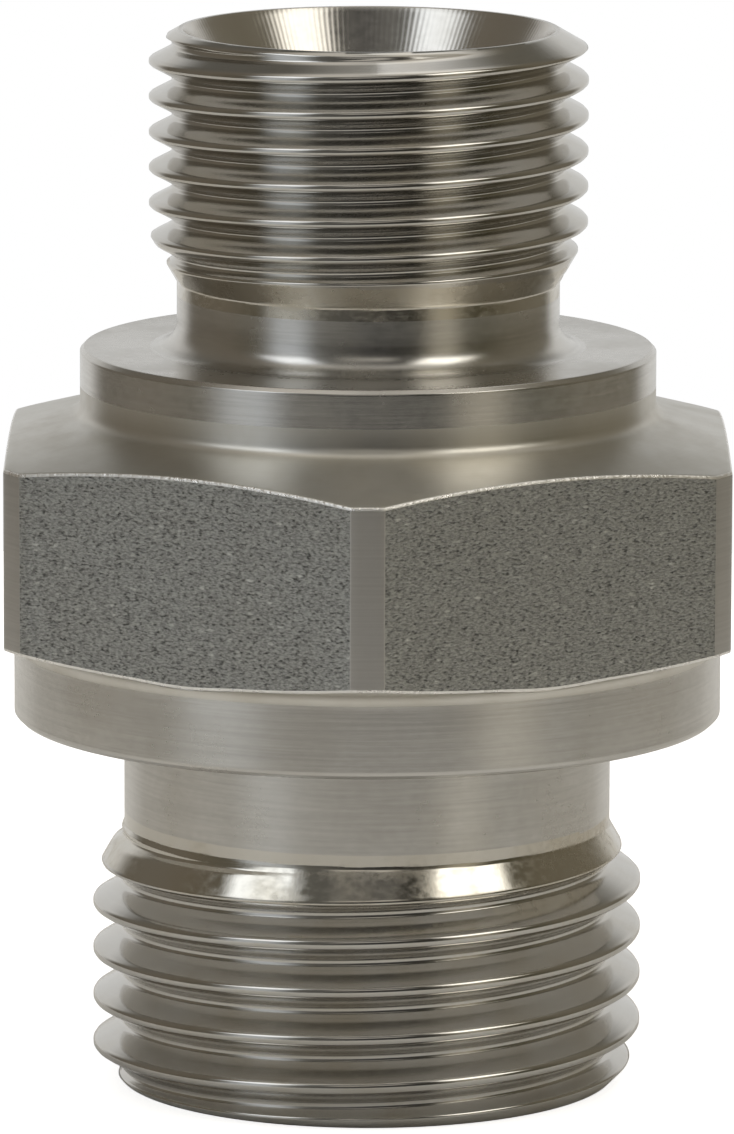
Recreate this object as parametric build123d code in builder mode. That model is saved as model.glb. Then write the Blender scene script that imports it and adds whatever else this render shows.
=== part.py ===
"""One-piece double nipple, turned from hexagon bar.

Two male parallel pipe threads of different size stand back to back, each with a relief and a
collar that seals against the port it is screwed into. The origin is the centre of the end
face of the larger thread, and +Z runs along the axis to the end of the smaller one.
"""
from build123d import *

import math
import os

# Lengths of the two threaded ends, in millimetres, as are all sizes but the angles in degrees
lower_spigot_length = 14.0
upper_spigot_length = 12.0

# Hexagon, its corners turned back from sharp and its two ends sloped in to the collars
across_flats = 27.0
corner_setback = 0.34
hexagon_height = 6.8
hexagon_slope = 15.0
hexagon_fillet = 0.5

# Collars: height from each sealing face to the hexagon's corners, and the lower collar's
# set-back from the flats
lower_collar_height = 3.6
upper_collar_height = 3.6
lower_collar_inset = 0.14
upper_collar_diameter = 21.7
collar_edge_break = 0.15

# Whitworth thread form, its crests and roots left flat; shares are of the pitch
thread_angle = 55.0
thread_flat_share = 1 / 6
groove_overcut_share = 0.05

# Lower thread, a 1/2 inch parallel pipe thread with 14 turns to the inch. Its groove ends in
# the relief, at a distance from the sealing face, and the relief is a margin deeper than it.
lower_thread_diameter = 20.8
lower_thread_pitch = 1.814
lower_groove_distance = 1.84
lower_relief_length = 4.2
lower_relief_margin = 0.03
lower_neck_fillet = 0.5

# Upper thread, a 3/8 inch parallel pipe thread with 19 turns to the inch
upper_thread_diameter = 16.5
upper_thread_pitch = 1.337
upper_groove_distance = 1.44
upper_relief_length = 2.5
upper_relief_margin = 0.19
upper_neck_fillet = 1.0

# Chamfers: on both ends, as depth into the radius and slope from the end face, and from each
# thread down into its relief, as slope from the axis
lower_end_depth = 1.0
lower_end_slope = 45.0
upper_end_depth = 1.1
upper_end_slope = 30.0
relief_slope = 30.0

# Bore, drilled from below and stepped down, with a cone seat and a flat rim at each mouth
upper_bore_diameter = 10.0
lower_bore_diameter = 13.0
lower_bore_depth = 18.0
drill_point_angle = 118.0
seat_cone_angle = 60.0
upper_rim_width = 0.16
lower_rim_width = 0.6

# Heights of the hexagon, of the two sealing faces and of the top end
lower_seal_height = lower_spigot_length
hexagon_bottom = lower_seal_height + lower_collar_height
hexagon_top = hexagon_bottom + hexagon_height
upper_seal_height = hexagon_top + upper_collar_height
overall_length = upper_seal_height + upper_spigot_length

# Radii of the hexagon's turned corners and of the collars
corner_radius = across_flats / 2 / math.cos(math.radians(30)) - corner_setback
lower_collar_radius = across_flats / 2 - lower_collar_inset
upper_collar_radius = upper_collar_diameter / 2


def slope(angle):
    """Rise over run of a line at an angle given in degrees."""
    return math.tan(math.radians(angle))


def groove_depth(pitch):
    """Depth of a thread of this pitch, from its flat crest to its flat root."""
    sharp_height = pitch / 2 / slope(thread_angle / 2)
    return sharp_height * (1 - 2 * thread_flat_share)


def cut_thread(diameter, pitch, start_height, turns):
    """Cut a right-hand thread, one turn at a time, up from a start height on the +X side."""
    radius = diameter / 2
    root_radius = radius - groove_depth(pitch)
    overcut = groove_overcut_share * pitch
    root_half = thread_flat_share * pitch / 2
    mouth_half = root_half + (groove_depth(pitch) + overcut) * slope(thread_angle / 2)
    for turn in range(turns):
        height = start_height + turn * pitch
        with BuildLine() as path:
            Helix(pitch, pitch, root_radius, center=(0, 0, height))
        with BuildSketch(Plane.XZ) as groove:
            with BuildLine():
                Polyline(
                    (root_radius, height - root_half),
                    (radius + overcut, height - mouth_half),
                    (radius + overcut, height + mouth_half),
                    (root_radius, height + root_half),
                    close=True,
                )
            make_face()
        sweep(groove.sketch, path=path.line, is_frenet=True, mode=Mode.SUBTRACT)


# Radii that follow from the threads
lower_thread_radius = lower_thread_diameter / 2
upper_thread_radius = upper_thread_diameter / 2
lower_neck_radius = lower_thread_radius - groove_depth(lower_thread_pitch) - lower_relief_margin
upper_neck_radius = upper_thread_radius - groove_depth(upper_thread_pitch) - upper_relief_margin
lower_end_radius = lower_thread_radius - lower_end_depth
upper_end_radius = upper_thread_radius - upper_end_depth

# Heights that follow from the reliefs and the chamfers
lower_relief_start = lower_seal_height - lower_relief_length
upper_relief_end = upper_seal_height + upper_relief_length
lower_thread_top = lower_relief_start - (lower_thread_radius - lower_neck_radius) / slope(relief_slope)
upper_thread_bottom = upper_relief_end + (upper_thread_radius - upper_neck_radius) / slope(relief_slope)
lower_end_chamfer_top = lower_end_depth * slope(lower_end_slope)
upper_end_chamfer_bottom = overall_length - upper_end_depth * slope(upper_end_slope)
collar_under_hexagon = hexagon_bottom - (corner_radius - lower_collar_radius) * slope(hexagon_slope)
collar_over_hexagon = hexagon_top + (corner_radius - upper_collar_radius) * slope(hexagon_slope)

# Bore radii and heights
upper_bore_radius = upper_bore_diameter / 2
lower_bore_radius = lower_bore_diameter / 2
upper_mouth_radius = upper_end_radius - upper_rim_width
lower_mouth_radius = lower_end_radius - lower_rim_width
lower_cone_top = (lower_mouth_radius - lower_bore_radius) / slope(seat_cone_angle / 2)
upper_cone_bottom = overall_length - (upper_mouth_radius - upper_bore_radius) / slope(seat_cone_angle / 2)
drill_point_top = lower_bore_depth + (lower_bore_radius - upper_bore_radius) / slope(drill_point_angle / 2)

# Turns of each groove, enough to pass the free end, and the height of its lowest point
lower_turns = math.ceil(lower_spigot_length / lower_thread_pitch)
upper_turns = math.ceil(upper_spigot_length / upper_thread_pitch)
lower_groove_start = lower_seal_height - lower_groove_distance - lower_turns * lower_thread_pitch
upper_groove_start = upper_seal_height + upper_groove_distance


def corner(sketch, radius, height):
    """The corner of a turned outline that stands at a radius and a height."""
    return sketch.vertices().sort_by_distance((radius, height, 0))[0]


with BuildPart() as nipple_body:
    # Hexagon bar that the whole piece is turned from
    with BuildSketch():
        RegularPolygon(radius=across_flats / 2, side_count=6, major_radius=False, rotation=30)
    extrude(amount=overall_length)

    # Outside, turned down to the threads, reliefs, collars and sloped hexagon ends
    with BuildSketch(Plane.XZ) as outside:
        with BuildLine():
            Polyline(
                (0, 0),
                (lower_end_radius, 0),
                (lower_thread_radius, lower_end_chamfer_top),
                (lower_thread_radius, lower_thread_top),
                (lower_neck_radius, lower_relief_start),
                (lower_neck_radius, lower_seal_height),
                (lower_collar_radius, lower_seal_height),
                (lower_collar_radius, collar_under_hexagon),
                (corner_radius, hexagon_bottom),
                (corner_radius, hexagon_top),
                (upper_collar_radius, collar_over_hexagon),
                (upper_collar_radius, upper_seal_height),
                (upper_neck_radius, upper_seal_height),
                (upper_neck_radius, upper_relief_end),
                (upper_thread_radius, upper_thread_bottom),
                (upper_thread_radius, upper_end_chamfer_bottom),
                (upper_end_radius, overall_length),
                (0, overall_length),
                close=True,
            )
        make_face()

        chamfer(corner(outside, lower_collar_radius, lower_seal_height), length=collar_edge_break)
        chamfer(corner(outside, upper_collar_radius, upper_seal_height), length=collar_edge_break)
        fillet(corner(outside, lower_collar_radius, collar_under_hexagon), radius=hexagon_fillet)
        fillet(corner(outside, upper_collar_radius, collar_over_hexagon), radius=hexagon_fillet)
        fillet(corner(outside, lower_neck_radius, lower_seal_height), radius=lower_neck_fillet)
        fillet(corner(outside, upper_neck_radius, upper_seal_height), radius=upper_neck_fillet)
    revolve(axis=Axis.Z, mode=Mode.INTERSECT)

    # Bore from both ends, stepped by a drill point, with a sealing cone in each mouth
    with BuildSketch(Plane.XZ):
        with BuildLine():
            Polyline(
                (0, 0),
                (lower_mouth_radius, 0),
                (lower_bore_radius, lower_cone_top),
                (lower_bore_radius, lower_bore_depth),
                (upper_bore_radius, drill_point_top),
                (upper_bore_radius, upper_cone_bottom),
                (upper_mouth_radius, overall_length),
                (0, overall_length),
                close=True,
            )
        make_face()
    revolve(axis=Axis.Z, mode=Mode.SUBTRACT)

    # Threads, each groove running out in the open part of its relief
    cut_thread(lower_thread_diameter, lower_thread_pitch, lower_groove_start, lower_turns)
    cut_thread(upper_thread_diameter, upper_thread_pitch, upper_groove_start, upper_turns)

nipple_body.part.label = "nipple_body"
os.makedirs("parts", exist_ok=True)
export_step(nipple_body.part, "parts/nipple_body.step")
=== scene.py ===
"""Looks of the double nipple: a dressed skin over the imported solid, a studio and a camera.

The skin is one closed mesh. Rows of vertices follow the turned outline, columns stand round the
axis, and the rows of the two spigots climb with their thread so that a node tree can cut the
threads into them. Lengths are in metres and angles in degrees, where no name says otherwise.
"""

import logging
import math
from dataclasses import dataclass, field
from enum import Enum
from typing import ClassVar

import bpy
import numpy as np
from mathutils import Matrix, Vector

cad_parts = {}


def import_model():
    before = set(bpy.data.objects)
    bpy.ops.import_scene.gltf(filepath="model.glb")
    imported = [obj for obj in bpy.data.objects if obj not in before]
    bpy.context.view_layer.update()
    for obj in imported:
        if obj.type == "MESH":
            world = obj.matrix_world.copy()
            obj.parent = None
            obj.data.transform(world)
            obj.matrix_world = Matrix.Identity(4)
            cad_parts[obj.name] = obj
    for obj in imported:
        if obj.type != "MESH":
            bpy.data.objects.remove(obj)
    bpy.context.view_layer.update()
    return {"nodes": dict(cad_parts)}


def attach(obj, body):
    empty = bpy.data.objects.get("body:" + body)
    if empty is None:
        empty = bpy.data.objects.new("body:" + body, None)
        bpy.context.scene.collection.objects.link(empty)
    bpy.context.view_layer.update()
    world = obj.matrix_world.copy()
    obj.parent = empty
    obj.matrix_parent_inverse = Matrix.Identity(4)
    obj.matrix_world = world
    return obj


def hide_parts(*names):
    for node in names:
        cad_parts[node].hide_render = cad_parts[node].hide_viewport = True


MM = 0.001
PHOTO_HEIGHT = 1134
FULL_TURN = 2 * math.pi
FULL_CIRCLE = 360.0
HEXAGON_STEP = 60.0

Point = tuple[float, float]

log = logging.getLogger("double_nipple")


class Zone(Enum):
    """Surfaces of the nipple that have a finish of their own, numbered as material slots."""

    TURNED = 0
    THREAD = 1
    FLAT = 2
    CORNER = 3
    # Real bent edges along the hexagon, with a painted highlight in their finish
    BURR_AND_PAINTED_HIGHLIGHT = 4
    SEAT = 5
    BORE = 6
    FACE = 7
    CONE = 8
    RUNOUT = 9


def slope(angle: float) -> float:
    """Rise over run of a line at an angle in degrees."""
    return math.tan(math.radians(angle))


class Tree:
    """Short ways to add and join nodes in a shader or geometry node tree."""

    def __init__(self, tree: bpy.types.NodeTree) -> None:
        """Wrap a node tree."""
        self.tree = tree

    def add(self, kind: str, inputs: dict | None = None, **settings) -> bpy.types.Node:
        """Add a node.

        Args:
            kind: the node's type name.
            inputs: socket name or index to a value, or to a socket that is linked to it.
            settings: properties of the node.

        Returns:
            The new node.
        """
        node = self.tree.nodes.new(kind)
        for name, value in settings.items():
            setattr(node, name, value)
        for name, value in (inputs or {}).items():
            if isinstance(value, bpy.types.NodeSocket):
                self.tree.links.new(value, node.inputs[name])
            else:
                node.inputs[name].default_value = value
        return node

    def math(self, operation: str, *values: float | bpy.types.NodeSocket) -> bpy.types.NodeSocket:
        """Add a math node and return its result."""
        kind = "ShaderNodeMath"
        return self.add(kind, dict(enumerate(values)), operation=operation).outputs[0]

    def group(self, tree: bpy.types.NodeTree, inputs: dict) -> bpy.types.NodeSocket:
        """Add a shared group with its inputs and return its output."""
        return self.add("ShaderNodeGroup", inputs, node_tree=tree).outputs[0]

    def noise(self, vector: bpy.types.NodeSocket, seed: bpy.types.NodeSocket,
              **inputs: float) -> bpy.types.NodeSocket:
        """Add a noise texture that a seed changes and return its value, from 0 to 1."""
        given = {"Vector": vector, "W": seed, "Scale": 1.0, **inputs}
        return self.add("ShaderNodeTexNoise", given, noise_dimensions="4D").outputs[0]

    def from_axis(self, x: bpy.types.NodeSocket, y: bpy.types.NodeSocket) -> bpy.types.NodeSocket:
        """Add nodes that give a place's distance from the axis."""
        return self.math("SQRT", self.math("ADD", self.math("MULTIPLY", x, x), self.math("MULTIPLY", y, y)))

    def ramp(self, factor: bpy.types.NodeSocket, *stops: tuple[float, tuple]) -> bpy.types.NodeSocket:
        """Add a colour ramp.

        Args:
            factor: place along the ramp, from 0 to 1.
            stops: pairs of a place and the colour there, in rising order.

        Returns:
            The ramp's colour.
        """
        node = self.add("ShaderNodeValToRGB", {"Fac": factor})
        elements = node.color_ramp.elements
        while len(elements) < len(stops):
            elements.new(0.5)
        for element, (place, colour) in zip(elements, stops):
            element.position = place
            element.color = (*colour, 1.0)
        return node.outputs["Color"]


@dataclass(frozen=True)
class Thread:
    """A right-hand thread on one spigot, and how finely its rows follow it.

    The groove's middle passes groove_height on the +X side, and the groove is cut between bottom
    and top. Past relief_height, in the direction of relief_up, it opens out into the relief.
    """

    radius: float
    pitch: float
    groove_height: float
    bottom: float
    top: float
    relief_height: float
    relief_up: float
    rows_per_turn: int
    seed: float
    angle: float = 55.0
    flat_share: float = 1 / 6
    crest_round_share: float = 0.137
    root_round_share: float = 0.1096
    wear_depth: float = 0.12 * MM

    @property
    def root_radius(self) -> float:
        """Radius of the groove's bottom."""
        sharp = self.pitch / 2 / slope(self.angle / 2)
        return self.radius - sharp * (1 - 2 * self.flat_share)

    def rows(self, turns: np.ndarray) -> np.ndarray:
        """Heights of the rows that climb with the thread, held between its ends.

        Args:
            turns: each column's angle as a share of a full turn, from 0 to 1.

        Returns:
            One line of heights for each row.
        """
        first = math.floor((self.bottom - self.groove_height) / self.pitch) - 1
        last = math.ceil((self.top - self.groove_height) / self.pitch)
        steps = np.arange(first * self.rows_per_turn, last * self.rows_per_turn + 1)
        heights = self.groove_height + self.pitch * (steps[:, None] / self.rows_per_turn + turns[None, :])
        return np.clip(heights, self.bottom, self.top)


class ThreadCutter:
    """A node tree that cuts a thread into the rows of a turned mesh."""

    INPUTS = ("Root radius", "Pitch", "Groove height", "Flank slope", "Root half width", "Root softness",
              "Crest softness", "Bottom", "Top", "Relief height", "Relief side", "Wear depth", "Seed")

    # Dents lie this close together, in each direction, where the noise passes the level, and only
    # on the crests, which begin at a share of the pitch from the groove's middle
    DENTS_PER_METRE = (900, 900, 2200)
    DENT_LEVEL = 0.6
    CREST_SHARE = 0.2

    # Points are cut if they lie no further inside the root than the depth, and welded if they meet
    OUTER_DEPTH = 0.25 * MM
    WELD_DISTANCE = 0.0008 * MM
    TINY = 1e-6

    def __init__(self) -> None:
        """Build the node tree."""
        self.group = bpy.data.node_groups.new("thread_cutting", "GeometryNodeTree")
        face = self.group.interface
        face.new_socket("Geometry", in_out="INPUT", socket_type="NodeSocketGeometry")
        for name in self.INPUTS:
            face.new_socket(name, in_out="INPUT", socket_type="NodeSocketFloat")
        face.new_socket("Thread finish", in_out="INPUT", socket_type="NodeSocketMaterial")
        face.new_socket("Geometry", in_out="OUTPUT", socket_type="NodeSocketGeometry")
        self._wire()

    def _groove(self, t: Tree, given: dict, place: list) -> tuple[bpy.types.NodeSocket, bpy.types.NodeSocket]:
        """Add nodes that give the groove's own radius.

        Args:
            t: the tree to add to.
            given: the tree's input sockets.
            place: sockets of the point's x, y and z.

        Returns:
            The groove's radius, and the point's distance from the groove's middle in pitches.
        """
        x, y, z = place
        turn = t.math("DIVIDE", t.math("ARCTAN2", y, x), FULL_TURN)
        risen = t.math("DIVIDE", t.math("SUBTRACT", z, given["Groove height"]), given["Pitch"])
        climbed = t.math("SUBTRACT", risen, turn)
        share = t.math("SUBTRACT", t.math("FRACT", t.math("ADD", climbed, 0.5)), 0.5)
        offset = t.math("MULTIPLY", t.math("ABSOLUTE", share), given["Pitch"])

        # Straight flanks, round at the root, and opened out past the relief
        flank = t.math("DIVIDE", t.math("SUBTRACT", offset, given["Root half width"]), given["Flank slope"])
        raised = t.math("SMOOTH_MAX", flank, 0.0, given["Root softness"])
        beyond = t.math("MULTIPLY", t.math("SUBTRACT", z, given["Relief height"]), given["Relief side"])
        opened = t.math("MAXIMUM", beyond, 0.0)
        return t.math("ADD", t.math("ADD", given["Root radius"], raised), opened), share

    def _dents(self, t: Tree, given: dict, share: bpy.types.NodeSocket) -> bpy.types.NodeSocket:
        """Add nodes that give the depth of the small dents that the crests have taken.

        Args:
            t: the tree to add to.
            given: the tree's input sockets.
            share: the point's distance from the groove's middle, in pitches.

        Returns:
            The depth.
        """
        position = t.add("GeometryNodeInputPosition").outputs[0]
        scaled = t.add("ShaderNodeVectorMath", {0: position, 1: self.DENTS_PER_METRE}, operation="MULTIPLY")
        noise = t.noise(scaled.outputs[0], given["Seed"], Detail=2.0)
        strength = t.math("MAXIMUM", t.math("SUBTRACT", noise, self.DENT_LEVEL), 0.0)
        on_crest = t.math("GREATER_THAN", share, self.CREST_SHARE)
        return t.math("MULTIPLY", t.math("MULTIPLY", strength, given["Wear depth"]), on_crest)

    def _wire(self) -> None:
        """Join the nodes."""
        t = Tree(self.group)
        given = t.add("NodeGroupInput").outputs
        place = t.add("ShaderNodeSeparateXYZ", {0: t.add("GeometryNodeInputPosition").outputs[0]}).outputs
        x, y, z = place[0], place[1], place[2]
        radius = t.from_axis(x, y)
        groove, share = self._groove(t, given, [x, y, z])
        groove = t.math("SUBTRACT", groove, self._dents(t, given, share))

        # Points outside the groove are drawn in to it, between the thread's ends
        cut = t.math("SMOOTH_MIN", radius, groove, given["Crest softness"])
        scale = t.math("DIVIDE", cut, t.math("MAXIMUM", radius, self.TINY))
        moved = {0: t.math("MULTIPLY", x, scale), 1: t.math("MULTIPLY", y, scale), 2: z}
        above = t.math("GREATER_THAN", z, t.math("SUBTRACT", given["Bottom"], self.TINY))
        below = t.math("LESS_THAN", z, t.math("ADD", given["Top"], self.TINY))
        outer = t.math("GREATER_THAN", radius, t.math("SUBTRACT", given["Root radius"], self.OUTER_DEPTH))
        chosen = t.math("MULTIPLY", t.math("MULTIPLY", above, below), outer)
        shaped = t.add("GeometryNodeSetPosition", {
            "Geometry": given["Geometry"],
            "Selection": chosen,
            "Position": t.add("ShaderNodeCombineXYZ", moved).outputs[0],
        })
        welded = t.add("GeometryNodeMergeByDistance", {
            "Geometry": shaped.outputs[0],
            "Distance": self.WELD_DISTANCE,
        })

        # The threads get their finish
        whole = t.add("GeometryNodeRealizeInstances", {"Geometry": welded.outputs[0]})
        number = t.add("GeometryNodeInputMaterialIndex").outputs[0]
        pair = {2: number, 3: Zone.THREAD.value}
        same = t.add("FunctionNodeCompare", pair, data_type="INT", operation="EQUAL")
        dressed = t.add("GeometryNodeSetMaterial", {
            "Geometry": whole.outputs[0],
            "Selection": same.outputs[0],
            "Material": given["Thread finish"],
        })
        t.add("NodeGroupOutput", {0: dressed.outputs[0]})

    def cut(self, piece: bpy.types.Object, thread: Thread, finish: bpy.types.Material) -> None:
        """Cut a thread into a piece and keep the result as a plain mesh.

        Args:
            piece: the object to cut.
            thread: the thread's sizes.
            finish: material of the thread.
        """
        values = {
            "Root radius": thread.root_radius,
            "Pitch": thread.pitch,
            "Groove height": thread.groove_height,
            "Flank slope": slope(thread.angle / 2),
            "Root half width": thread.flat_share * thread.pitch / 2,
            "Root softness": thread.root_round_share * thread.pitch,
            "Crest softness": thread.crest_round_share * thread.pitch,
            "Bottom": thread.bottom,
            "Top": thread.top,
            "Relief height": thread.relief_height,
            "Relief side": thread.relief_up,
            "Wear depth": thread.wear_depth,
            "Seed": thread.seed,
            "Thread finish": finish,
        }
        modifier = piece.modifiers.new("thread", "NODES")
        modifier.node_group = self.group
        for item in self.group.interface.items_tree:
            if item.in_out == "INPUT" and item.name in values:
                modifier[item.identifier] = values[item.name]
        bpy.context.view_layer.update()
        graph = bpy.context.evaluated_depsgraph_get()
        mesh = bpy.data.meshes.new_from_object(piece.evaluated_get(graph), depsgraph=graph)
        piece.modifiers.remove(modifier)
        old = piece.data
        piece.data = mesh
        bpy.data.meshes.remove(old)


@dataclass
class Rows:
    """Rows of a skin as they are laid down: radius, height and the zone that follows each."""

    columns: int
    radii: list[np.ndarray] = field(default_factory=list)
    heights: list[np.ndarray] = field(default_factory=list)
    zones: list[Zone] = field(default_factory=list)

    def add(self, radius: float | np.ndarray, height: float | np.ndarray, zone: Zone) -> None:
        """Lay down one row.

        Args:
            radius: one radius for the whole row, or one for each column.
            height: one height, or one for each column.
            zone: the zone of the faces between this row and the next.
        """
        self.radii.append(np.broadcast_to(np.asarray(radius, float), self.columns))
        self.heights.append(np.broadcast_to(np.asarray(height, float), self.columns))
        self.zones.append(zone)

    def line(self, start: tuple, end: tuple, zone: Zone, shares: tuple[float, ...]) -> None:
        """Lay down rows along a straight stretch.

        Args:
            start: radius and height where the stretch starts.
            end: radius and height where it ends.
            zone: the zone of its faces.
            shares: where its rows lie, as shares of its length.
        """
        for share in shares:
            self.add(start[0] + (end[0] - start[0]) * share, start[1] + (end[1] - start[1]) * share, zone)

    def bend(self, before: Point, corner: Point, after: Point, radius: float, steps: int, zone: Zone) -> None:
        """Lay down an arc in place of a corner.

        Args:
            before: a point on the line that leads to the corner, as radius and height.
            corner: the corner.
            after: a point on the line that leaves it.
            radius: the arc's radius.
            steps: how many faces the arc has.
            zone: the zone of its faces.
        """
        middle = Vector(corner)
        back = (Vector(before) - middle).normalized()
        onward = (Vector(after) - middle).normalized()
        half = back.angle(onward) / 2
        centre = middle + (back + onward).normalized() * radius / math.sin(half)
        start = middle + back * radius / math.tan(half) - centre
        end = middle + onward * radius / math.tan(half) - centre
        sweep = start.angle_signed(end)
        for step in range(steps + 1):
            turned = Matrix.Rotation(-sweep * step / steps, 2) @ start
            self.add(centre.x + turned.x, centre.y + turned.y, zone)


class Spread:
    """Where the rows of a straight stretch lie, as shares of its length.

    Rows near both ends keep the stretch's shading flat.
    """

    END_FACE = (0.4, 0.7)
    LOWER_NECK = (0.3, 0.6, 0.9)
    UPPER_NECK = (0.1, 0.5)
    BROKEN_EDGE = (0.15, 0.85)
    WALL = (0.05, 0.5, 0.95)
    WALL_AND_END = (*WALL, 1.0)
    START_AND_WALL = (0.0, *WALL)
    FLAT = (0.02, 0.35, 0.65, 0.98)
    CONE = (0.0, 0.04, 0.09, 0.14, 0.2, 0.26, 0.32, 0.38, 0.44, 0.52, 0.62, 0.74, 0.86, 0.95)
    SEAT = (0.06, 0.4, 0.7, 0.96)
    BORE = (0.02, 0.3, 0.6, 0.98)
    DRILL_STEP = (0.1, 0.9)


@dataclass
class NippleBody:
    """The one-piece nipple: sizes of its outline, and how its skin is made and dressed."""

    across_flats: float = 27.0 * MM
    corner_setback: float = 0.34 * MM
    hexagon_bottom: float = 17.6 * MM
    hexagon_top: float = 24.4 * MM
    hexagon_slope: float = 15.0
    hexagon_fillet: float = 0.5 * MM
    lower_seal: float = 14.0 * MM
    upper_seal: float = 28.0 * MM
    height: float = 40.0 * MM
    lower_collar_radius: float = 13.36 * MM
    upper_collar_radius: float = 10.85 * MM
    edge_break: float = 0.15 * MM
    lower_neck_fillet: float = 0.5 * MM
    upper_neck_fillet: float = 1.0 * MM
    lower_neck_radius: float = 9.209 * MM
    upper_neck_radius: float = 7.204 * MM
    lower_relief_height: float = 9.8 * MM
    upper_relief_height: float = 30.5 * MM
    relief_slope: float = 30.0
    lower_end_depth: float = 1.0 * MM
    upper_end_depth: float = 1.1 * MM
    lower_end_slope: float = 45.0
    upper_end_slope: float = 30.0
    lower_rim: float = 0.6 * MM
    upper_rim: float = 0.16 * MM
    lower_bore_radius: float = 6.5 * MM
    upper_bore_radius: float = 5.0 * MM
    lower_bore_depth: float = 18.0 * MM
    seat_angle: float = 60.0
    drill_angle: float = 118.0

    # Burr along the hexagon's edges: its width, and as shares of that where it starts on the
    # slope, how far it draws in and how far it laps over the side
    burr_width: float = 0.1 * MM
    burr_start_share: float = 0.8
    burr_inset_share: float = 0.15
    burr_lap_share: float = 0.1

    # Scuffed ends of the threads: how far they reach past each relief's edge
    lower_runout: float = 1.4 * MM
    upper_runout: float = 0.75 * MM

    # How finely the skin is divided: radius of its sharp edges, faces in each kind of bend, gaps
    # between the hexagon's corners and the collars' straight walls, and columns on each side
    fine: float = 0.05 * MM
    mouth_steps: int = 3
    bore_steps: int = 2
    lower_neck_steps: int = 7
    upper_neck_steps: int = 12
    hexagon_fillet_steps: int = 24
    lower_wall_gap: float = 1.0 * MM
    upper_wall_gap: float = 2.1 * MM
    flat_columns: int = 35
    flat_edge_gap: float = 0.12
    corner_column: float = 28.9
    corner_tolerance: float = 0.002 * MM

    lower_thread: Thread = field(default_factory=lambda: Thread(
        radius=10.4 * MM, pitch=1.814 * MM, groove_height=1.276 * MM, bottom=0.0, top=10.3 * MM,
        relief_height=9.5 * MM, relief_up=1.0, rows_per_turn=22, seed=3.0))
    upper_thread: Thread = field(default_factory=lambda: Thread(
        radius=8.25 * MM, pitch=1.337 * MM, groove_height=29.44 * MM, bottom=30.0 * MM, top=40.0 * MM,
        relief_height=30.8 * MM, relief_up=-1.0, rows_per_turn=18, seed=8.0))

    @property
    def corner_radius(self) -> float:
        """Radius of the hexagon's turned corners."""
        return self.across_flats / 2 / math.cos(math.radians(HEXAGON_STEP / 2)) - self.corner_setback

    @property
    def lower_end(self) -> tuple[Point, Point]:
        """Corners of the lower end chamfer, on the end face and on the thread's outside."""
        radius, depth = self.lower_thread.radius, self.lower_end_depth
        return (radius - depth, 0.0), (radius, depth * slope(self.lower_end_slope))

    @property
    def upper_end(self) -> tuple[Point, Point]:
        """Corners of the upper end chamfer, on the end face and on the thread's outside."""
        radius, depth = self.upper_thread.radius, self.upper_end_depth
        return (radius - depth, self.height), (radius, self.height - depth * slope(self.upper_end_slope))

    @property
    def lower_mouth(self) -> Point:
        """Edge of the lower mouth."""
        return self.lower_end[0][0] - self.lower_rim, 0.0

    @property
    def upper_mouth(self) -> Point:
        """Edge of the upper mouth."""
        return self.upper_end[0][0] - self.upper_rim, self.height

    @property
    def lower_seat_end(self) -> Point:
        """Where the lower cone seat meets the bore."""
        radius = self.lower_bore_radius
        return radius, (self.lower_mouth[0] - radius) / slope(self.seat_angle / 2)

    @property
    def upper_seat_end(self) -> Point:
        """Where the upper cone seat meets the bore."""
        radius = self.upper_bore_radius
        return radius, self.height - (self.upper_mouth[0] - radius) / slope(self.seat_angle / 2)

    def columns(self) -> np.ndarray:
        """Angles of the columns, closer together beside the hexagon's corners.

        Returns:
            Rising angles in radians, from the first column to the same column one turn on.
        """
        half = HEXAGON_STEP / 2
        flat_half = math.degrees(math.acos(self.across_flats / 2 / self.corner_radius))
        inner_half, outer_half = flat_half - self.flat_edge_gap, flat_half + self.flat_edge_gap
        inner = np.linspace(-inner_half, inner_half, self.flat_columns)
        sector = [-half, -self.corner_column, -outer_half, *inner, outer_half, self.corner_column]
        centres = np.arange(0.0, FULL_CIRCLE, HEXAGON_STEP)
        angles = [centre + offset for centre in centres for offset in sector]
        return np.radians([*angles, FULL_CIRCLE - half])

    def hexagon_radius(self, angles: np.ndarray) -> np.ndarray:
        """Radius of the hexagon's side.

        Args:
            angles: angles in radians.

        Returns:
            One radius for each angle.
        """
        sector = math.radians(HEXAGON_STEP)
        offset = (angles + sector / 2) % sector - sector / 2
        return np.minimum(self.across_flats / 2 / np.cos(offset), self.corner_radius)

    def spigot_radius(self, thread: Thread, heights: np.ndarray, end: tuple[Point, Point],
                      relief: Point) -> np.ndarray:
        """Radius of a spigot before its thread is cut.

        Args:
            thread: the spigot's thread.
            heights: heights to work it out at.
            end: the end chamfer's two corners.
            relief: the relief's radius, and the height where its chamfer starts.

        Returns:
            One radius for each height.
        """
        (face_radius, face_height), (_, chamfer_height) = end
        (neck_radius, neck_height) = relief
        far = neck_height - thread.relief_up * (thread.radius - neck_radius) / slope(self.relief_slope)
        points = sorted([(face_height, face_radius), (chamfer_height, thread.radius), (far, thread.radius),
                         (neck_height, neck_radius)])
        places, radii = zip(*points)
        return np.interp(heights, places, radii)

    def end_trace(self, collar: float, level: float, up: float) -> tuple[np.ndarray, np.ndarray]:
        """Follow one sloped end of the hexagon, from its fillet at the collar to past its corners.

        Args:
            collar: the collar's radius.
            level: height of the hexagon's corner edge.
            up: 1 for the upper end of the hexagon, -1 for the lower.

        Returns:
            Radii and heights of points along it.
        """
        past = self.corner_radius + self.hexagon_fillet
        meet = level + up * (self.corner_radius - collar) * slope(self.hexagon_slope)
        outer = level - up * self.hexagon_fillet * slope(self.hexagon_slope)
        trace = Rows(1)
        trace.bend((collar, meet + up), (collar, meet), (past, outer), self.hexagon_fillet,
                   self.hexagon_fillet_steps, Zone.CONE)
        return np.append(np.ravel(trace.radii), past), np.append(np.ravel(trace.heights), outer)

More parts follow.
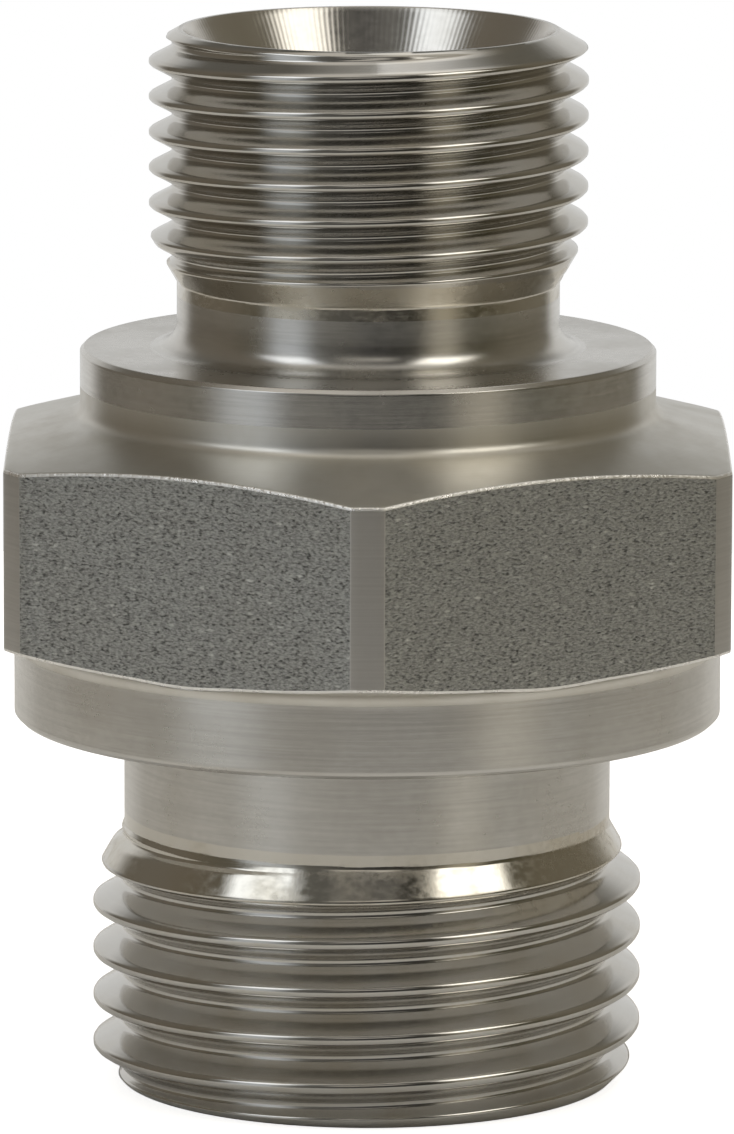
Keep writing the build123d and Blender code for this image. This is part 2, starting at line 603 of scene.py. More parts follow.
    def hexagon_end(self, rows: Rows, side: np.ndarray, trace: tuple[np.ndarray, np.ndarray],
                    leaving: bool) -> None:
        """Lay down the fillet and the slope between a collar and the hexagon, up to its edge.

        Args:
            rows: the rows so far.
            side: the hexagon's radius along each column.
            trace: radii and heights of points along the sloped end.
            leaving: True where the rows leave the hexagon, False where they come to it.
        """
        radii, heights = trace
        lengths = np.concatenate([[0.0], np.cumsum(np.hypot(np.diff(radii), np.diff(heights)))])
        reach = np.interp(side, radii, lengths)
        places = [reach * share for share in Spread.CONE]
        places.append(reach - self.burr_width * self.burr_start_share)
        for place in (reversed(places) if leaving else places):
            rows.add(np.interp(place, lengths, radii), np.interp(place, lengths, heights), Zone.CONE)

    def lay_lower_spigot(self, rows: Rows, turns: np.ndarray) -> None:
        """Lay down the lower end face and the spigot, up to its neck.

        Args:
            rows: the rows so far.
            turns: each column's angle as a share of a full turn.
        """
        thread, mouth, end = self.lower_thread, self.lower_mouth, self.lower_end
        rows.bend(self.lower_seat_end, mouth, end[0], self.fine, self.mouth_steps, Zone.FACE)
        rows.line(mouth, (thread.root_radius, 0.0), Zone.FACE, Spread.END_FACE)
        relief = (self.lower_neck_radius, self.lower_relief_height)
        for heights in thread.rows(turns):
            rows.add(self.spigot_radius(thread, heights, end, relief), heights, Zone.THREAD)
        rows.zones[-1] = Zone.TURNED

    def lay_lower_collar(self, rows: Rows) -> None:
        """Lay down the lower neck, its seal face and the collar.

        Args:
            rows: the rows so far.
        """
        neck, collar, seal = self.lower_neck_radius, self.lower_collar_radius, self.lower_seal
        broken, fillet, start = self.edge_break, self.lower_neck_fillet, self.lower_thread.top
        rows.line((neck, start), (neck, seal - fillet), Zone.TURNED, Spread.LOWER_NECK)
        rows.bend((neck, start), (neck, seal), (collar, seal), fillet, self.lower_neck_steps, Zone.TURNED)
        rows.zones[-1] = Zone.FACE
        rows.line((neck + fillet, seal), (collar - broken, seal), Zone.FACE, Spread.WALL_AND_END)
        rows.line((collar - broken, seal), (collar, seal + broken), Zone.TURNED, Spread.BROKEN_EDGE)
        rows.add(collar, seal + broken, Zone.TURNED)
        wall_end = self.hexagon_bottom - self.lower_wall_gap
        rows.line((collar, seal + broken), (collar, wall_end), Zone.TURNED, Spread.WALL)

    def lay_hexagon(self, rows: Rows, side: np.ndarray) -> None:
        """Lay down the hexagon with its two sloped ends and the burr along its edges.

        Args:
            rows: the rows so far.
            side: the hexagon's radius along each column.
        """
        lower_trace = self.end_trace(self.lower_collar_radius, self.hexagon_bottom, -1)
        upper_trace = self.end_trace(self.upper_collar_radius, self.hexagon_top, 1)
        lower, upper = np.interp(side, *lower_trace), np.interp(side, *upper_trace)
        inset, lap = self.burr_width * self.burr_inset_share, self.burr_width * self.burr_lap_share
        self.hexagon_end(rows, side, lower_trace, False)
        rows.zones[-1] = Zone.BURR_AND_PAINTED_HIGHLIGHT
        rows.add(side - inset, lower + lap, Zone.BURR_AND_PAINTED_HIGHLIGHT)
        rows.add(side, lower + self.burr_width, Zone.FLAT)
        rows.line((side, lower), (side, upper), Zone.FLAT, Spread.FLAT)
        rows.add(side, upper - self.burr_width, Zone.BURR_AND_PAINTED_HIGHLIGHT)
        rows.add(side - inset, upper - lap, Zone.BURR_AND_PAINTED_HIGHLIGHT)
        self.hexagon_end(rows, side, upper_trace, True)

    def lay_upper_collar(self, rows: Rows) -> None:
        """Lay down the upper collar, its seal face and the neck.

        Args:
            rows: the rows so far.
        """
        neck, collar, seal = self.upper_neck_radius, self.upper_collar_radius, self.upper_seal
        broken, fillet, end = self.edge_break, self.upper_neck_fillet, self.upper_thread.bottom
        wall_start = self.hexagon_top + self.upper_wall_gap
        rows.line((collar, wall_start), (collar, seal - broken), Zone.TURNED, Spread.WALL_AND_END)
        rows.line((collar, seal - broken), (collar - broken, seal), Zone.TURNED, Spread.BROKEN_EDGE)
        rows.line((collar - broken, seal), (neck + fillet, seal), Zone.FACE, Spread.START_AND_WALL)
        rows.bend((collar, seal), (neck, seal), (neck, end), fillet, self.upper_neck_steps, Zone.TURNED)
        rows.line((neck, seal + fillet), (neck, end), Zone.TURNED, Spread.UPPER_NECK)

    def lay_upper_spigot(self, rows: Rows, turns: np.ndarray) -> None:
        """Lay down the upper spigot, up to its end face.

        Args:
            rows: the rows so far.
            turns: each column's angle as a share of a full turn.
        """
        thread = self.upper_thread
        relief = (self.upper_neck_radius, self.upper_relief_height)
        for heights in thread.rows(turns):
            rows.add(self.spigot_radius(thread, heights, self.upper_end, relief), heights, Zone.THREAD)
        rows.zones[-1] = Zone.FACE

    def lay_bore(self, rows: Rows) -> None:
        """Lay down both seats and the bore between them, from the upper mouth to the lower.

        Args:
            rows: the rows so far.
        """
        narrow, wide = self.upper_bore_radius, self.lower_bore_radius
        step_bottom = (wide, self.lower_bore_depth)
        step_top = (narrow, self.lower_bore_depth + (wide - narrow) / slope(self.drill_angle / 2))
        upper_seat, lower_seat = self.upper_seat_end, self.lower_seat_end
        fine, steps = self.fine, self.bore_steps
        rows.bend(self.upper_end[0], self.upper_mouth, upper_seat, fine, self.mouth_steps, Zone.SEAT)
        rows.line(self.upper_mouth, upper_seat, Zone.SEAT, Spread.SEAT)
        rows.bend(self.upper_mouth, upper_seat, step_top, fine, steps, Zone.BORE)
        rows.line(upper_seat, step_top, Zone.BORE, Spread.BORE)
        rows.bend(upper_seat, step_top, step_bottom, fine, steps, Zone.BORE)
        rows.line(step_top, step_bottom, Zone.BORE, Spread.DRILL_STEP)
        rows.bend(step_top, step_bottom, lower_seat, fine, steps, Zone.BORE)
        rows.line(step_bottom, lower_seat, Zone.BORE, Spread.BORE)
        rows.bend(step_bottom, lower_seat, self.lower_mouth, fine, steps, Zone.SEAT)
        rows.line(lower_seat, self.lower_mouth, Zone.SEAT, Spread.WALL)

    def outline(self, angles: np.ndarray) -> Rows:
        """Lay down all rows, from the lower mouth up the outside and back down the bore.

        Args:
            angles: the columns' angles.

        Returns:
            The rows, of which the last meets the first.
        """
        rows = Rows(len(angles))
        turns = angles / FULL_TURN
        self.lay_lower_spigot(rows, turns)
        self.lay_lower_collar(rows)
        self.lay_hexagon(rows, self.hexagon_radius(angles))
        self.lay_upper_collar(rows)
        self.lay_upper_spigot(rows, turns)
        self.lay_bore(rows)
        return rows

    def face_zones(self, rows: Rows, angles: np.ndarray) -> np.ndarray:
        """Number the faces by zone, with the threads' ends and the hexagon's corners set apart.

        Args:
            rows: the rows of the skin.
            angles: the columns' angles.

        Returns:
            A zone number for each row and column of faces.
        """
        heights = np.array(rows.heights)
        numbers = np.repeat([zone.value for zone in rows.zones], len(angles) - 1).reshape(len(heights), -1)
        level = (heights[:, :-1] + heights[:, 1:]) / 2
        above = level > self.lower_relief_height - self.lower_runout
        below = level < self.upper_relief_height + self.upper_runout
        threads = numbers == Zone.THREAD.value
        numbers = np.where(threads & above & below, Zone.RUNOUT.value, numbers)
        middles = (angles[:-1] + angles[1:]) / 2
        strip = self.hexagon_radius(middles) > self.corner_radius - self.corner_tolerance
        return np.where((numbers == Zone.FLAT.value) & strip[None, :], Zone.CORNER.value, numbers)

    def skin(self) -> bpy.types.Object:
        """Make the closed skin with plain spigots.

        Returns:
            The skin, its faces numbered by zone.
        """
        angles = self.columns()
        rows = self.outline(angles)
        radii, heights = np.array(rows.radii), np.array(rows.heights)
        count, width = radii.shape
        points = np.stack([radii * np.cos(angles), radii * np.sin(angles), heights], axis=-1).reshape(-1, 3)
        row, column = np.meshgrid(np.arange(count), np.arange(width - 1), indexing="ij")
        here, following = row * width + column, (row + 1) % count * width + column
        quads = np.stack([here, here + 1, following + 1, following], axis=-1).reshape(-1, 4)
        mesh = bpy.data.meshes.new("nipple_skin")
        mesh.from_pydata(points.tolist(), [], quads.tolist())
        numbers = self.face_zones(rows, angles)
        mesh.polygons.foreach_set("material_index", numbers.ravel().astype(np.int32))
        mesh.polygons.foreach_set("use_smooth", np.ones(len(quads), bool))
        mesh.update()
        piece = bpy.data.objects.new("nipple_skin", mesh)
        bpy.context.scene.collection.objects.link(piece)
        return piece

    def build(self, finishes: dict[Zone, bpy.types.Material]) -> bpy.types.Object:
        """Make the whole skin, cut its threads and dress it.

        Args:
            finishes: the material of each zone.

        Returns:
            The finished piece.
        """
        piece = self.skin()
        for zone in Zone:
            piece.data.materials.append(finishes[zone])
        cutter = ThreadCutter()
        for thread in (self.lower_thread, self.upper_thread):
            cutter.cut(piece, thread, finishes[Zone.THREAD])
        return piece


class Patterns:
    """Node groups that the steel finishes share, each made once."""

    # Turning lines lie apart by height plus this share of the radius, so that end faces have them too
    RADIUS_SHARE = 1.37

    # A speck fades out between these distances from the middle of its cell
    SPECK_EDGE = 0.5
    SPECK_CORE = 0.2

    # Chatter ribs sway with noise of this many waves to the metre, by up to this angle in radians
    SWAY_SCALE = 260.0
    SWAY = 9.0

    def __init__(self) -> None:
        """Make the groups."""
        self.turning = self._turning_marks()
        self.smudges = self._smudges()
        self.specks = self._specks()
        self.chatter = self._chatter()

    @staticmethod
    def _open(name: str, inputs: tuple[str, ...], output: str) -> tuple[bpy.types.NodeTree, Tree, dict]:
        """Start a shader group with plain number inputs and one number output.

        Args:
            name: the group's name.
            inputs: names of its inputs.
            output: name of its output.

        Returns:
            The group, a wrapper to add nodes with, and the input sockets by name.
        """
        group = bpy.data.node_groups.new(name, "ShaderNodeTree")
        for socket in inputs:
            group.interface.new_socket(socket, in_out="INPUT", socket_type="NodeSocketFloat")
        group.interface.new_socket(output, in_out="OUTPUT", socket_type="NodeSocketFloat")
        t = Tree(group)
        return group, t, t.add("NodeGroupInput").outputs

    @staticmethod
    def _place(t: Tree) -> tuple[bpy.types.NodeSocket, ...]:
        """Add nodes that give a place's x, y and z on the object."""
        place = t.add("ShaderNodeSeparateXYZ", {0: t.add("ShaderNodeTexCoord").outputs["Object"]}).outputs
        return place[0], place[1], place[2]

    def _spread(self, t: Tree, given: dict) -> bpy.types.NodeSocket:
        """Add nodes that measure a place in pattern sizes.

        Args:
            t: the tree to add to.
            given: input sockets, with the pattern's size and how much flatter than wide it is.

        Returns:
            The place as a vector.
        """
        x, y, z = self._place(t)
        squeezed = t.math("MULTIPLY", z, given["Stretch"])
        scaled = [t.math("DIVIDE", part, given["Size"]) for part in (x, y, squeezed)]
        return t.add("ShaderNodeCombineXYZ", dict(enumerate(scaled))).outputs[0]

    def _turning_marks(self) -> bpy.types.NodeTree:
        """Make fine lines round the axis, as a lathe tool leaves them, from 0 to 1.

        Returns:
            The group.
        """
        group, t, given = self._open("turning_marks", ("Spacing", "Length", "Seed"), "Marks")
        x, y, z = self._place(t)
        radius = t.from_axis(x, y)
        across, along = (t.math("DIVIDE", t.math("DIVIDE", part, radius), given["Length"]) for part in (x, y))
        profile = t.math("DIVIDE", t.math("MULTIPLY_ADD", radius, self.RADIUS_SHARE, z), given["Spacing"])
        place = t.add("ShaderNodeCombineXYZ", {0: across, 1: along, 2: profile}).outputs[0]
        marks = t.noise(place, given["Seed"], Detail=3.0, Roughness=0.6)
        t.add("NodeGroupOutput", {0: marks})
        return group

    def _smudges(self) -> bpy.types.NodeTree:
        """Make soft uneven patches, from 0 to 1.

        Returns:
            The group.
        """
        group, t, given = self._open("smudges", ("Size", "Stretch", "From", "To", "Seed"), "Mask")
        noise = t.noise(self._spread(t, given), given["Seed"], Detail=4.0)
        limits = {"Value": noise, "From Min": given["From"], "From Max": given["To"]}
        mask = t.add("ShaderNodeMapRange", limits, interpolation_type="SMOOTHSTEP").outputs[0]
        t.add("NodeGroupOutput", {0: mask})
        return group

    def _specks(self) -> bpy.types.NodeTree:
        """Make small scattered spots, 1 in their middle and 0 between them.

        Returns:
            The group.
        """
        group, t, given = self._open("specks", ("Size", "Stretch", "Share", "Seed"), "Mask")
        inputs = {"Vector": self._spread(t, given), "W": given["Seed"], "Scale": 1.0}
        cells = t.add("ShaderNodeTexVoronoi", inputs, voronoi_dimensions="4D").outputs
        limits = {"Value": cells["Distance"], "From Min": self.SPECK_EDGE, "From Max": self.SPECK_CORE}
        near = t.add("ShaderNodeMapRange", limits, interpolation_type="SMOOTHSTEP").outputs[0]
        pick = t.add("ShaderNodeSeparateColor", {0: cells["Color"]}).outputs[0]
        t.add("NodeGroupOutput", {0: t.math("MULTIPLY", near, t.math("LESS_THAN", pick, given["Share"]))})
        return group

    def _chatter(self) -> bpy.types.NodeTree:
        """Make leaning ribs round a bore, as a trembling tool cuts them, from -1 to 1.

        Returns:
            The group.
        """
        group, t, given = self._open("chatter", ("Count", "Lean", "Seed"), "Height")
        x, y, z = self._place(t)
        angle = t.math("ARCTAN2", y, x)
        phase = t.math("MULTIPLY_ADD", z, given["Lean"], t.math("MULTIPLY", angle, given["Count"]))
        sway = t.noise(t.add("ShaderNodeTexCoord").outputs["Object"], given["Seed"], Scale=self.SWAY_SCALE)
        wave = t.math("SINE", t.math("MULTIPLY_ADD", sway, self.SWAY, phase))
        t.add("NodeGroupOutput", {0: wave})
        return group


@dataclass(frozen=True)
class Patch:
    """A patchy pattern: its size, how much flatter than wide it is, and the noise it fades in over."""

    size: float
    stretch: float
    low: float
    high: float

    def mask(self, t: Tree, patterns: Patterns, seed: float) -> bpy.types.NodeSocket:
        """Add the pattern's mask to a material."""
        inputs = {"Size": self.size, "Stretch": self.stretch, "From": self.low, "To": self.high, "Seed": seed}
        return t.group(patterns.smudges, inputs)


@dataclass(frozen=True)
class Steel:
    """A stainless steel finish: its tone, how it scatters light, and the marks in it."""

    # Stains, and the finer patches that make the roughness uneven
    STAINS: ClassVar[Patch] = Patch(2.5 * MM, 0.6, 0.35, 0.75)
    BLURS: ClassVar[Patch] = Patch(0.35 * MM, 1.5, 0.3, 0.7)
    BLUR_SHARE: ClassVar[float] = 0.6

    # A pitted surface: how softly a pit starts, then the sizes as shares of a pit's size, and the
    # depths and shades as shares of a pit's depth and of the grain. The glints are a painted
    # highlight: specks brightened in the colour
    PIT_SOFTNESS: ClassVar[float] = 0.2
    PIT_SHADE: ClassVar[float] = 0.75
    GRAIN_RANGE: ClassVar[tuple[float, float]] = (0.25, 0.75)
    GRAIN_SIZE: ClassVar[float] = 0.7
    GRAIN_DEPTH: ClassVar[float] = 0.6
    GLINT_SIZE: ClassVar[float] = 1.8
    GLINT_SHARE: ClassVar[float] = 0.12
    GLINT_SHADE: ClassVar[float] = 0.7

    # A quarter turn of the brushed reflection, so that it runs round the axis
    QUARTER_TURN: ClassVar[float] = 0.25

    colour: tuple[float, float, float] = (0.60, 0.585, 0.555)
    roughness: float = 0.26
    uneven: float = 0.06
    anisotropy: float = 0.0
    line_spacing: float = 0.05 * MM
    line_length: float = 0.5
    line_depth: float = 0.0
    line_shade: float = 0.0
    stain: float = 0.10
    stain_colour: tuple[float, float, float] = (0.42, 0.37, 0.27)
    pit_size: float = 0.1 * MM
    pit_stretch: float = 1.0
    pit_share: float = 0.0
    pit_depth: float = 0.0
    grain: float = 0.0
    chatter_depth: float = 0.0
    chatter_count: float = 210.0
    chatter_lean: float = 1.6 / MM
    seed: float = 0.0

    def _pitted(self, t: Tree, patterns: Patterns, colour: bpy.types.NodeSocket,
                height: bpy.types.NodeSocket) -> tuple[bpy.types.NodeSocket, bpy.types.NodeSocket]:
        """Add the pits and the grain of the bar's own drawn sides, and glints painted in as highlights.

        Args:
            t: the material's tree.
            patterns: the shared node groups.
            colour: the colour so far.
            height: the relief so far.

        Returns:
            The colour and the relief with them.
        """
        pitting = Patch(self.pit_size, self.pit_stretch, self.pit_share, self.pit_share + self.PIT_SOFTNESS)
        graining = Patch(self.pit_size * self.GRAIN_SIZE, self.pit_stretch, *self.GRAIN_RANGE)
        dents = pitting.mask(t, patterns, self.seed + 3)
        grains = graining.mask(t, patterns, self.seed + 4)
        painted_glints = t.group(patterns.specks, {
            "Size": self.pit_size * self.GLINT_SIZE,
            "Stretch": self.pit_stretch,
            "Share": self.GLINT_SHARE,
            "Seed": self.seed + 5,
        })
        height = t.math("MULTIPLY_ADD", dents, -self.pit_depth, height)
        height = t.math("MULTIPLY_ADD", grains, self.pit_depth * self.GRAIN_DEPTH, height)
        bright = t.math("MULTIPLY_ADD", t.math("SUBTRACT", grains, 0.5), self.grain, 1.0)
        # Painted highlight: the glints brighten the colour in small specks
        bright = t.math("MULTIPLY_ADD", painted_glints, self.grain * self.GLINT_SHADE, bright)
        bright = t.math("MULTIPLY_ADD", dents, -self.grain * self.PIT_SHADE, bright)
        colour = t.add("ShaderNodeVectorMath", {0: colour, "Scale": bright}, operation="SCALE").outputs[0]
        return colour, height

    def build(self, name: str, patterns: Patterns) -> bpy.types.Material:
        """Make the material.

        Args:
            name: the material's name.
            patterns: the shared node groups.

        Returns:
            The material.
        """
        material = bpy.data.materials.new(name)
        material.use_nodes = True
        t = Tree(material.node_tree)
        shader = material.node_tree.nodes["Principled BSDF"]
        shader.inputs["Metallic"].default_value = 1.0
        shader.inputs["Anisotropic"].default_value = self.anisotropy
        shader.inputs["Anisotropic Rotation"].default_value = self.QUARTER_TURN
        links = material.node_tree.links
        if self.anisotropy:
            tangent = t.add("ShaderNodeTangent", direction_type="RADIAL", axis="Z")
            links.new(tangent.outputs[0], shader.inputs["Tangent"])

        marks = {"Spacing": self.line_spacing, "Length": self.line_length, "Seed": self.seed}
        lines = t.group(patterns.turning, marks)
        stains = self.STAINS.mask(t, patterns, self.seed + 1)
        blurs = self.BLURS.mask(t, patterns, self.seed + 2)

        # Tone: shaded by the lines, and stained in patches
        shade = t.math("MULTIPLY_ADD", t.math("SUBTRACT", lines, 0.5), self.line_shade, 1.0)
        clean = t.add("ShaderNodeVectorMath", {0: self.colour, "Scale": shade}, operation="SCALE").outputs[0]
        mixing = {0: t.math("MULTIPLY", stains, self.stain), 6: clean, 7: (*self.stain_colour, 1.0)}
        colour = t.add("ShaderNodeMix", mixing, data_type="RGBA").outputs[2]

        # Roughness: uneven in large and small patches
        small = t.math("MULTIPLY", t.math("SUBTRACT", blurs, 0.5), self.BLUR_SHARE)
        spread = t.math("ADD", t.math("SUBTRACT", stains, 0.5), small)
        rough = t.math("MULTIPLY_ADD", spread, self.uneven, self.roughness)

        # Relief: lines, pits and chatter
        height = t.math("MULTIPLY", lines, self.line_depth)
        if self.pit_share:
            colour, height = self._pitted(t, patterns, colour, height)
        if self.chatter_depth:
            ribs = t.group(patterns.chatter, {
                "Count": self.chatter_count,
                "Lean": self.chatter_lean,
                "Seed": self.seed,
            })
            height = t.math("MULTIPLY_ADD", ribs, self.chatter_depth, height)
        bump = t.add("ShaderNodeBump", {"Height": height, "Distance": 1.0, "Strength": 1.0})
        links.new(colour, shader.inputs["Base Color"])
        links.new(rough, shader.inputs["Roughness"])
        links.new(bump.outputs[0], shader.inputs["Normal"])
        return material


FINISHES = {
    Zone.TURNED: Steel(colour=(0.575, 0.565, 0.54), roughness=0.25, anisotropy=0.6, line_spacing=0.13 * MM,
                       line_depth=0.0016 * MM, line_shade=0.4, stain=0.14, seed=1.0),
    Zone.THREAD: Steel(colour=(0.555, 0.545, 0.52), roughness=0.15, anisotropy=0.2, line_depth=0.0006 * MM,
                       line_shade=0.12, stain=0.3, seed=11.0),
    Zone.FLAT: Steel(colour=(0.36, 0.365, 0.35), roughness=0.42, line_spacing=0.12 * MM, line_length=0.02,
                     line_depth=0.004 * MM, pit_size=0.2 * MM, pit_stretch=2.2, pit_share=0.48,
                     pit_depth=0.016 * MM, grain=0.72, stain=0.04, seed=21.0),
    Zone.CORNER: Steel(colour=(0.52, 0.51, 0.49), roughness=0.40, line_spacing=0.1 * MM,
                       line_depth=0.003 * MM, line_shade=0.35, seed=31.0),
    # Burr: its near-white tone is a painted highlight along the hexagon's edges, lighter than the steel; its
    # bent faces also catch the room's light
    Zone.BURR_AND_PAINTED_HIGHLIGHT: Steel(colour=(0.95, 0.94, 0.91), roughness=0.30, line_spacing=0.1 * MM, line_length=0.012,
                     line_depth=0.06 * MM, stain=0.0, seed=41.0),
    Zone.SEAT: Steel(roughness=0.22, line_depth=0.0008 * MM, chatter_depth=0.0008 * MM, seed=51.0),
    Zone.BORE: Steel(colour=(0.50, 0.485, 0.455), roughness=0.34, line_depth=0.002 * MM, seed=61.0),
    Zone.FACE: Steel(roughness=0.30, anisotropy=0.5, line_depth=0.001 * MM, line_shade=0.10, seed=71.0),
    Zone.CONE: Steel(colour=(0.66, 0.645, 0.60), roughness=0.36, anisotropy=0.3, line_spacing=0.09 * MM,
                     line_depth=0.001 * MM, line_shade=0.08, stain=0.25, seed=81.0),
    Zone.RUNOUT: Steel(colour=(0.60, 0.58, 0.53), roughness=0.20, uneven=0.22, line_spacing=0.2 * MM,
                       line_length=0.06, line_depth=0.004 * MM, stain=0.5, stain_colour=(0.46, 0.40, 0.28),
                       seed=91.0),
}


@dataclass(frozen=True)
class Panel:
    """A bright stretch of the room as the metal sees it, in degrees round from the camera's side."""

    azimuth: float
    elevation: float
    half_width: float
    half_height: float
    softness: float
    strength: float
    colour: tuple[float, float, float] = (1.0, 1.0, 1.0)


class Room:
    """The studio's walls and lights, drawn on the world by direction."""

    # Azimuth from the camera's side, positive to the right, and the room's colour there
    WALLS = (
        (-180.0, (0.12, 0.12, 0.11)),
        (-126.0, (0.18, 0.16, 0.13)),
        (-95.0, (0.18, 0.155, 0.12)),
        (-74.0, (0.135, 0.12, 0.09)),
        (-30.0, (0.15, 0.145, 0.13)),
        (0.0, (0.060, 0.058, 0.055)),
        (20.0, (0.045, 0.043, 0.038)),
        (72.0, (0.092, 0.082, 0.052)),
        (95.0, (0.18, 0.158, 0.115)),
        (126.0, (0.21, 0.188, 0.145)),
        (180.0, (0.12, 0.12, 0.11)),
    )
    PANELS = (
        Panel(-49, 0, 12, 30, 9, 0.54, (0.93, 1.0, 1.09)),
        Panel(46, 0, 10, 30, 9, 0.36, (1.10, 1.0, 0.80)),
        Panel(-57, 46, 17, 13, 6, 1.6, (0.96, 1.0, 1.05)),
        Panel(56, 46, 19, 13, 6, 2.3, (1.04, 1.0, 0.92)),
        Panel(180, 66, 60, 12, 8, 0.55),
        Panel(0, 76, 400, 13, 10, 0.55, (1.05, 1.0, 0.92)),
        Panel(0, 38, 18, 7, 6, 0.55, (1.06, 1.0, 0.90)),
        Panel(180, 2, 40, 24, 9, 0.62),
        Panel(-180, 2, 40, 24, 9, 0.62),
    )

    WHITE = (1.0, 1.0, 1.0, 1.0)

    def __init__(self) -> None:
        """Make the group that masks one panel."""
        self.mask = bpy.data.node_groups.new("panel_mask", "ShaderNodeTree")
        sides = (("Azimuth", "Panel azimuth", "Half width"), ("Elevation", "Panel elevation", "Half height"))
        for name in (*sides[0], *sides[1], "Softness"):
            self.mask.interface.new_socket(name, in_out="INPUT", socket_type="NodeSocketFloat")
        self.mask.interface.new_socket("Mask", in_out="OUTPUT", socket_type="NodeSocketFloat")
        t = Tree(self.mask)
        given = t.add("NodeGroupInput").outputs
        masks = []
        for own, other, half in sides:
            away = t.math("ABSOLUTE", t.math("SUBTRACT", given[own], given[other]))
            inner = t.math("SUBTRACT", given[half], given["Softness"])
            outer = t.math("ADD", given[half], given["Softness"])
            share = t.math("DIVIDE", t.math("SUBTRACT", outer, away), t.math("SUBTRACT", outer, inner))
            mask = t.add("ShaderNodeMapRange", {"Value": share}, interpolation_type="SMOOTHSTEP").outputs[0]
            masks.append(mask)
        t.add("NodeGroupOutput", {0: t.math("MULTIPLY", *masks)})

    def build(self) -> None:
        """Draw the room, with a white backdrop for the camera."""
        world = bpy.data.worlds.new("room")
        bpy.context.scene.world = world
        world.use_nodes = True
        t = Tree(world.node_tree)
        way = t.add("ShaderNodeSeparateXYZ", {0: t.add("ShaderNodeTexCoord").outputs["Generated"]}).outputs
        azimuth = t.math("DEGREES", t.math("ARCTAN2", way[0], t.math("MULTIPLY", way[1], -1.0)))
        elevation = t.math("DEGREES", t.math("ARCSINE", way[2]))
        share = t.math("MULTIPLY_ADD", azimuth, 1 / FULL_CIRCLE, 0.5)
        colour = t.ramp(share, *((angle / FULL_CIRCLE + 0.5, tone) for angle, tone in self.WALLS))
        for panel in self.PANELS:
            mask = t.group(self.mask, {
                "Azimuth": azimuth,
                "Elevation": elevation,
                "Panel azimuth": panel.azimuth,
                "Panel elevation": panel.elevation,
                "Half width": panel.half_width,
                "Half height": panel.half_height,
                "Softness": panel.softness,
            })
            tone = tuple(panel.strength * part for part in panel.colour)
            light = t.add("ShaderNodeVectorMath", {0: tone, "Scale": mask}, operation="SCALE").outputs[0]
            colour = t.add("ShaderNodeVectorMath", {0: colour, 1: light}, operation="ADD").outputs[0]
        seen = t.add("ShaderNodeLightPath").outputs["Is Camera Ray"]
        mixed = t.add("ShaderNodeMix", {0: seen, 6: colour, 7: self.WHITE}, data_type="RGBA")
        world.node_tree.links.new(mixed.outputs[2], world.node_tree.nodes["Background"].inputs["Color"])


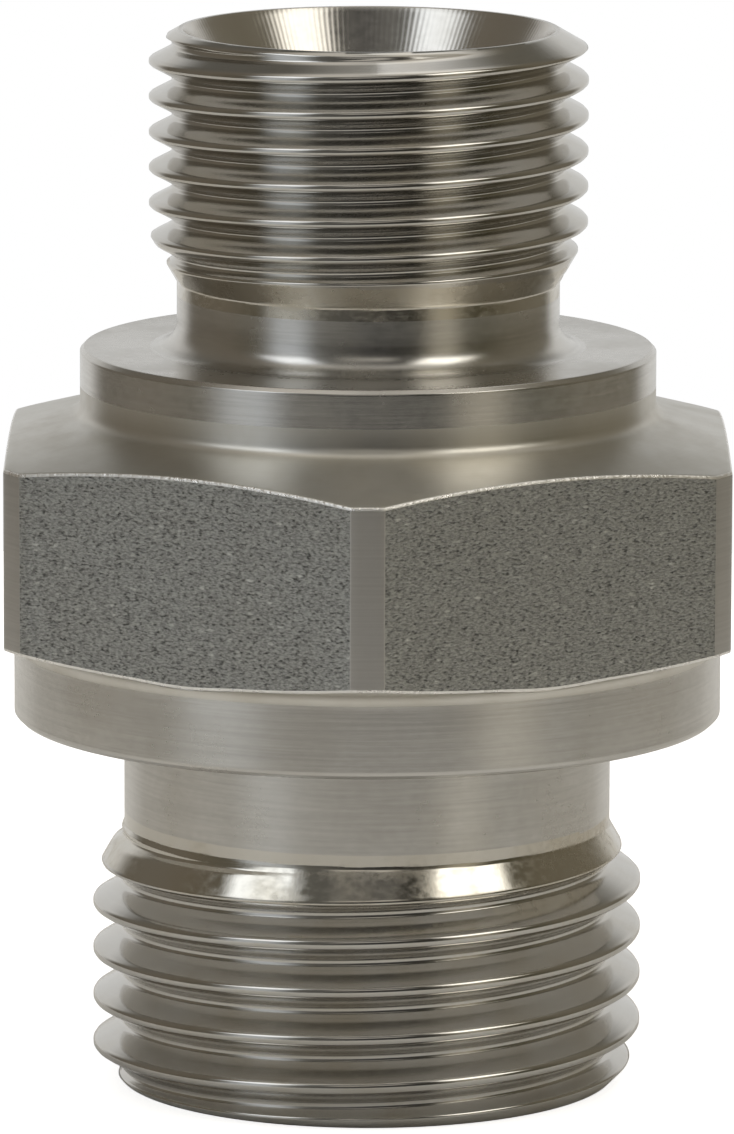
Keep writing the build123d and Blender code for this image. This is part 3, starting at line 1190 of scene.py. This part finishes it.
@dataclass
class Studio:
    """Camera, floor, lamp and room."""

    focal_pixels: float = 9853.0
    sensor_width: float = 36.0
    clip_start: float = 0.01
    distance: float = 372.45 * MM
    elevation: float = 10.127
    roll: float = 0.154
    target: Vector = field(default_factory=lambda: Vector((-0.022 * MM, 0.0, 19.53 * MM)))
    floor_radius: float = 115 * MM
    floor_sides: int = 96
    floor_colour: tuple[float, float, float] = (0.90, 0.885, 0.86)
    floor_roughness: float = 0.4
    floor_glow: float = 0.78
    lamp_height: float = 0.7
    lamp_size: float = 0.5
    lamp_power: float = 1.2

    def camera(self) -> None:
        """Stand the camera where the photograph was taken from."""
        lens = bpy.data.cameras.new("camera")
        lens.sensor_width = self.sensor_width
        lens.lens = self.sensor_width * self.focal_pixels / PHOTO_HEIGHT
        lens.clip_start = self.clip_start
        body = bpy.data.objects.new("camera", lens)
        bpy.context.scene.collection.objects.link(body)
        elevation = math.radians(self.elevation)
        away = Vector((0.0, -math.cos(elevation), math.sin(elevation)))
        turn = away.to_track_quat("Z", "Y").to_matrix() @ Matrix.Rotation(math.radians(self.roll), 3, "Z")
        body.matrix_world = Matrix.Translation(self.target + away * self.distance) @ turn.to_4x4()
        bpy.context.scene.camera = body
        log.info("camera: %.0f mm away", self.distance / MM)

    def floor(self) -> None:
        """Lay a round pale sheet, as white as the backdrop in the camera but for the object's shadow."""
        angles = np.linspace(0, FULL_TURN, self.floor_sides, endpoint=False)
        radius = self.floor_radius
        rim = [(radius * math.cos(angle), radius * math.sin(angle), 0.0) for angle in angles]
        mesh = bpy.data.meshes.new("floor")
        mesh.from_pydata(rim, [], [tuple(range(self.floor_sides))])
        piece = bpy.data.objects.new("floor", mesh)
        bpy.context.scene.collection.objects.link(piece)
        material = bpy.data.materials.new("floor")
        material.use_nodes = True
        t = Tree(material.node_tree)
        shader = material.node_tree.nodes["Principled BSDF"]
        shader.inputs["Base Color"].default_value = (*self.floor_colour, 1.0)
        shader.inputs["Roughness"].default_value = self.floor_roughness
        glow = t.add("ShaderNodeEmission", {"Color": Room.WHITE, "Strength": self.floor_glow})
        lit = t.add("ShaderNodeAddShader", {0: shader.outputs[0], 1: glow.outputs[0]})
        seen = t.add("ShaderNodeLightPath").outputs["Is Camera Ray"]
        mixed = t.add("ShaderNodeMixShader", {0: seen, 1: shader.outputs[0], 2: lit.outputs[0]})
        output = material.node_tree.nodes["Material Output"]
        material.node_tree.links.new(mixed.outputs[0], output.inputs["Surface"])
        mesh.materials.append(material)
        log.info("floor: %.0f mm across", 2 * self.floor_radius / MM)

    def lamp(self) -> None:
        """Hang a soft lamp over the floor, left out of the metal's reflections."""
        lamp = bpy.data.lights.new("overhead", "AREA")
        lamp.size = self.lamp_size
        lamp.energy = self.lamp_power
        body = bpy.data.objects.new("overhead", lamp)
        body.location = (0.0, 0.0, self.lamp_height)
        body.visible_glossy = False
        bpy.context.scene.collection.objects.link(body)

    def build(self) -> None:
        """Make the whole studio."""
        self.camera()
        self.floor()
        self.lamp()
        Room().build()
        bpy.context.scene.view_settings.view_transform = "Standard"


def main() -> None:
    """Build the studio and the nipple."""
    logging.basicConfig(level=logging.INFO)
    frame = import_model()
    log.info("frame: %s", ", ".join(frame["nodes"]))
    Studio().build()
    patterns = Patterns()
    finishes = {zone: FINISHES[zone].build(f"{zone.name.lower()}_steel", patterns) for zone in Zone}
    piece = NippleBody().build(finishes)
    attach(piece, "root")
    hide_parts("nipple_body")
    log.info("%s: %d faces", piece.name, len(piece.data.polygons))


if __name__ == "__main__":
    main()
